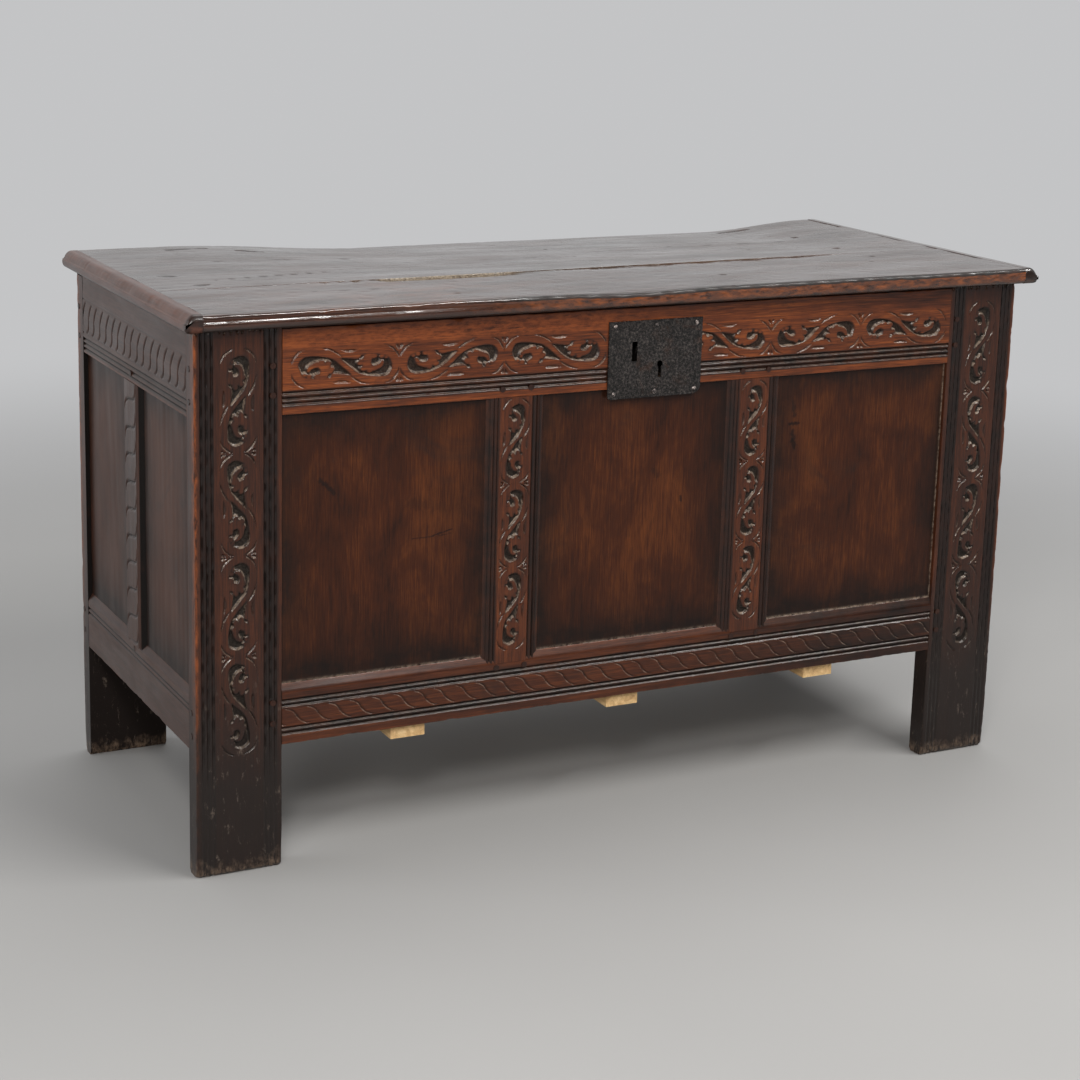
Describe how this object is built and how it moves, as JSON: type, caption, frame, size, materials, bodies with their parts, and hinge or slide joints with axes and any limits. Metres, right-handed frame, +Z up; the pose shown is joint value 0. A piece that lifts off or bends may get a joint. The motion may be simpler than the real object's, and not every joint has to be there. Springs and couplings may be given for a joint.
{
  "type": "coffer chest",
  "caption": "joined oak coffer on stile feet, with a panelled case, a boarded floor, a hinged two-plank lid and an iron lock plate over a sliding bolt",
  "frame": {"origin": "on the ground, at the centre of the whole chest's box seen from above", "axes": "+X to the chest's right as seen from the front, +Y to the back, +Z up"},
  "size_m": [1.236, 0.543, 0.7085],
  "materials": {
    "oak_frame": "waxed, worn",
    "oak_panel": "waxed, worn",
    "oak_lid": "polished, worn",
    "softwood": "raw",
    "iron": "forged, dark"
  },
  "bodies": {
    "case": {"back_bottom_rail": "oak_frame", "back_left_muntin": "oak_frame", "back_left_panel": "oak_panel", "back_left_stile": "oak_frame", "back_middle_panel": "oak_panel", "back_pegs": "oak_frame", "back_right_muntin": "oak_frame", "back_right_panel": "oak_panel", "back_right_stile": "oak_frame", "back_top_rail": "oak_frame", "floor_back_board": "oak_frame", "floor_front_board": "oak_frame", "floor_left_batten": "softwood", "floor_middle_batten": "softwood", "floor_middle_board": "oak_frame", "floor_nails": "iron", "floor_right_batten": "softwood", "front_bottom_rail": "oak_frame", "front_left_muntin": "oak_frame", "front_left_panel": "oak_panel", "front_left_stile": "oak_frame", "front_middle_panel": "oak_panel", "front_pegs": "oak_frame", "front_right_muntin": "oak_frame", "front_right_panel": "oak_panel", "front_right_stile": "oak_frame", "front_top_rail": "oak_frame", "hinge_leaf_nails": "iron", "left_end_back_panel": "oak_panel", "left_end_bottom_rail": "oak_frame", "left_end_front_panel": "oak_panel", "left_end_muntin": "oak_frame", "left_end_pegs": "oak_frame", "left_end_top_rail": "oak_frame", "left_hinge_leaf": "iron", "left_hinge_pin": "iron", "lock_cover": "iron", "lock_cover_nails": "iron", "lock_guides": "iron", "lock_spring": "iron", "lockplate": "iron", "lockplate_nails": "iron", "right_end_back_panel": "oak_panel", "right_end_bottom_rail": "oak_frame", "right_end_front_panel": "oak_panel", "right_end_muntin": "oak_frame", "right_end_pegs": "oak_frame", "right_end_top_rail": "oak_frame", "right_hinge_leaf": "iron", "right_hinge_pin": "iron"},
    "lid": {"hinge_strap_nails": "iron", "left_hinge_strap": "iron", "lid_back_plank": "oak_lid", "lid_dowels": "oak_lid", "lid_front_plank": "oak_lid", "lid_left_strip": "oak_lid", "lid_right_strip": "oak_lid", "right_hinge_strap": "iron"},
    "lock_bolt": {"lock_bolt": "iron"}
  },
  "joints": [
    {"name": "lid_hinge", "type": "hinge", "parent": "case", "child": "lid", "pos_m": [0, 0.2618, 0.6811], "axis": [-1, 0, 0], "range_deg": [0, 100]},
    {"name": "bolt_slide", "type": "slide", "parent": "case", "child": "lock_bolt", "axis": [-1, 0, 0], "range_m": [0, 0.02]}
  ]
}
